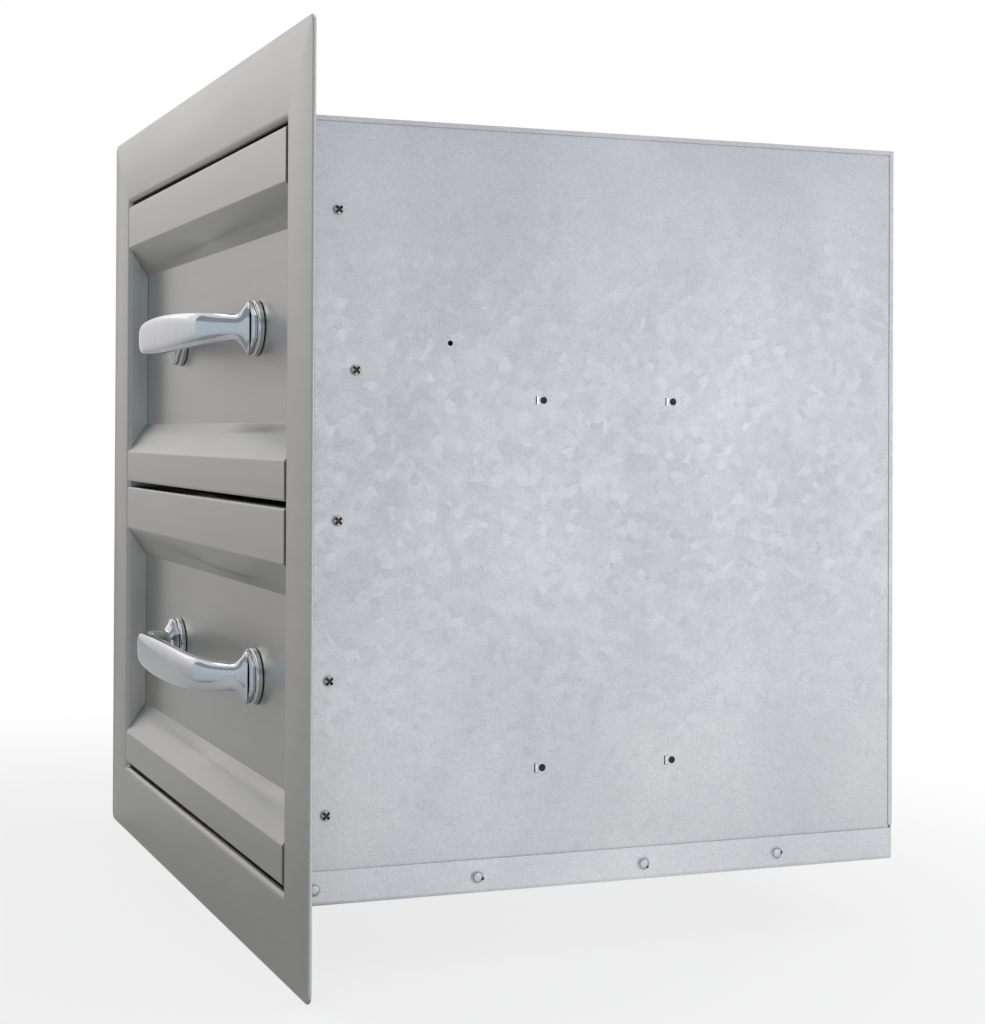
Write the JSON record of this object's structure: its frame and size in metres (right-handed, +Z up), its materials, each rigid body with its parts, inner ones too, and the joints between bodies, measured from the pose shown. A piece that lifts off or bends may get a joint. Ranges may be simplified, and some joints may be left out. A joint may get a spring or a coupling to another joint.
{
  "type": "outdoor kitchen drawer unit",
  "caption": "Built-in stainless drawer unit with a flat face frame, stacked flush drawers with recessed fronts, cast bow handles and ball-bearing telescopic slides",
  "frame": {"origin": "centre of the plane on which the flange's rear edge seats on the island, which is also the centre of the flange", "axes": "+X to the right as seen from the front, +Y into the island, +Z up; drawers open toward -Y"},
  "size_m": [0.56, 0.4742, 0.597],
  "materials": {
    "brushed_stainless": "fine brushed stainless sheet, grain along the front",
    "zinc_sheet": "galvanised sheet with a faint mottle",
    "drawer_steel": "satin steel sheet",
    "chrome": "polished chrome on a casting",
    "slide_zinc": "bright zinc plating",
    "cage_steel": "yellow passivated strip with bright balls",
    "gasket_rubber": "matte black",
    "dark_screw": "dark passivated"
  },
  "bodies": {
    "cabinet": {"face_frame": "brushed_stainless", "top_panel": "zinc_sheet", "back_panel": "zinc_sheet", "bottom_tray": "zinc_sheet", "side_panel_left": "zinc_sheet", "frame_screw_left_1": "dark_screw", "frame_screw_left_2": "dark_screw", "frame_screw_left_3": "dark_screw", "frame_screw_left_4": "dark_screw", "frame_screw_left_5": "dark_screw", "side_panel_right": "zinc_sheet", "frame_screw_right_1": "dark_screw", "frame_screw_right_2": "dark_screw", "frame_screw_right_3": "dark_screw", "frame_screw_right_4": "dark_screw", "frame_screw_right_5": "dark_screw", "lower_slide_cabinet_left": "slide_zinc", "lower_slide_cabinet_right": "slide_zinc", "upper_slide_cabinet_left": "slide_zinc", "upper_slide_cabinet_right": "slide_zinc"},
    "lower_drawer": {"lower_drawer_front": "brushed_stainless", "lower_front_liner": "drawer_steel", "lower_drawer_body": "drawer_steel", "lower_drawer_back": "drawer_steel", "lower_handle": "chrome", "lower_handle_rose_left": "chrome", "lower_handle_gasket_left": "gasket_rubber", "lower_handle_screw_left": "slide_zinc", "lower_slide_drawer_left": "slide_zinc", "lower_handle_rose_right": "chrome", "lower_handle_gasket_right": "gasket_rubber", "lower_handle_screw_right": "slide_zinc", "lower_slide_drawer_right": "slide_zinc"},
    "lower_outer_cage_left": {"lower_outer_cage_left": "cage_steel"},
    "lower_slide_middle_left": {"lower_slide_middle_left": "slide_zinc"},
    "lower_inner_cage_left": {"lower_inner_cage_left": "cage_steel"},
    "lower_outer_cage_right": {"lower_outer_cage_right": "cage_steel"},
    "lower_slide_middle_right": {"lower_slide_middle_right": "slide_zinc"},
    "lower_inner_cage_right": {"lower_inner_cage_right": "cage_steel"},
    "upper_drawer": {"upper_drawer_front": "brushed_stainless", "upper_front_liner": "drawer_steel", "upper_drawer_body": "drawer_steel", "upper_drawer_back": "drawer_steel", "upper_handle": "chrome", "upper_handle_rose_left": "chrome", "upper_handle_gasket_left": "gasket_rubber", "upper_handle_screw_left": "slide_zinc", "upper_slide_drawer_left": "slide_zinc", "upper_handle_rose_right": "chrome", "upper_handle_gasket_right": "gasket_rubber", "upper_handle_screw_right": "slide_zinc", "upper_slide_drawer_right": "slide_zinc"},
    "upper_outer_cage_left": {"upper_outer_cage_left": "cage_steel"},
    "upper_slide_middle_left": {"upper_slide_middle_left": "slide_zinc"},
    "upper_inner_cage_left": {"upper_inner_cage_left": "cage_steel"},
    "upper_outer_cage_right": {"upper_outer_cage_right": "cage_steel"},
    "upper_slide_middle_right": {"upper_slide_middle_right": "slide_zinc"},
    "upper_inner_cage_right": {"upper_inner_cage_right": "cage_steel"}
  },
  "joints": [
    {"name": "lower_drawer_slide", "type": "slide", "parent": "cabinet", "child": "lower_drawer", "axis": [0, -1, 0], "range_m": [0, 0.34]},
    {"name": "lower_outer_cage_left_slide", "type": "slide", "parent": "cabinet", "child": "lower_outer_cage_left", "axis": [0, -1, 0], "range_m": [0, 0.085]},
    {"name": "lower_slide_middle_left_slide", "type": "slide", "parent": "cabinet", "child": "lower_slide_middle_left", "axis": [0, -1, 0], "range_m": [0, 0.17]},
    {"name": "lower_inner_cage_left_slide", "type": "slide", "parent": "cabinet", "child": "lower_inner_cage_left", "axis": [0, -1, 0], "range_m": [0, 0.255]},
    {"name": "lower_outer_cage_right_slide", "type": "slide", "parent": "cabinet", "child": "lower_outer_cage_right", "axis": [0, -1, 0], "range_m": [0, 0.085]},
    {"name": "lower_slide_middle_right_slide", "type": "slide", "parent": "cabinet", "child": "lower_slide_middle_right", "axis": [0, -1, 0], "range_m": [0, 0.17]},
    {"name": "lower_inner_cage_right_slide", "type": "slide", "parent": "cabinet", "child": "lower_inner_cage_right", "axis": [0, -1, 0], "range_m": [0, 0.255]},
    {"name": "upper_drawer_slide", "type": "slide", "parent": "cabinet", "child": "upper_drawer", "axis": [0, -1, 0], "range_m": [0, 0.34]},
    {"name": "upper_outer_cage_left_slide", "type": "slide", "parent": "cabinet", "child": "upper_outer_cage_left", "axis": [0, -1, 0], "range_m": [0, 0.085]},
    {"name": "upper_slide_middle_left_slide", "type": "slide", "parent": "cabinet", "child": "upper_slide_middle_left", "axis": [0, -1, 0], "range_m": [0, 0.17]},
    {"name": "upper_inner_cage_left_slide", "type": "slide", "parent": "cabinet", "child": "upper_inner_cage_left", "axis": [0, -1, 0], "range_m": [0, 0.255]},
    {"name": "upper_outer_cage_right_slide", "type": "slide", "parent": "cabinet", "child": "upper_outer_cage_right", "axis": [0, -1, 0], "range_m": [0, 0.085]},
    {"name": "upper_slide_middle_right_slide", "type": "slide", "parent": "cabinet", "child": "upper_slide_middle_right", "axis": [0, -1, 0], "range_m": [0, 0.17]},
    {"name": "upper_inner_cage_right_slide", "type": "slide", "parent": "cabinet", "child": "upper_inner_cage_right", "axis": [0, -1, 0], "range_m": [0, 0.255]}
  ],
  "couplings": [
    {"joint": "lower_outer_cage_left_slide", "follows": "lower_drawer_slide", "ratio": 0.25},
    {"joint": "lower_slide_middle_left_slide", "follows": "lower_drawer_slide", "ratio": 0.5},
    {"joint": "lower_inner_cage_left_slide", "follows": "lower_drawer_slide", "ratio": 0.75},
    {"joint": "lower_outer_cage_right_slide", "follows": "lower_drawer_slide", "ratio": 0.25},
    {"joint": "lower_slide_middle_right_slide", "follows": "lower_drawer_slide", "ratio": 0.5},
    {"joint": "lower_inner_cage_right_slide", "follows": "lower_drawer_slide", "ratio": 0.75},
    {"joint": "upper_outer_cage_left_slide", "follows": "upper_drawer_slide", "ratio": 0.25},
    {"joint": "upper_slide_middle_left_slide", "follows": "upper_drawer_slide", "ratio": 0.5},
    {"joint": "upper_inner_cage_left_slide", "follows": "upper_drawer_slide", "ratio": 0.75},
    {"joint": "upper_outer_cage_right_slide", "follows": "upper_drawer_slide", "ratio": 0.25},
    {"joint": "upper_slide_middle_right_slide", "follows": "upper_drawer_slide", "ratio": 0.5},
    {"joint": "upper_inner_cage_right_slide", "follows": "upper_drawer_slide", "ratio": 0.75}
  ]
}
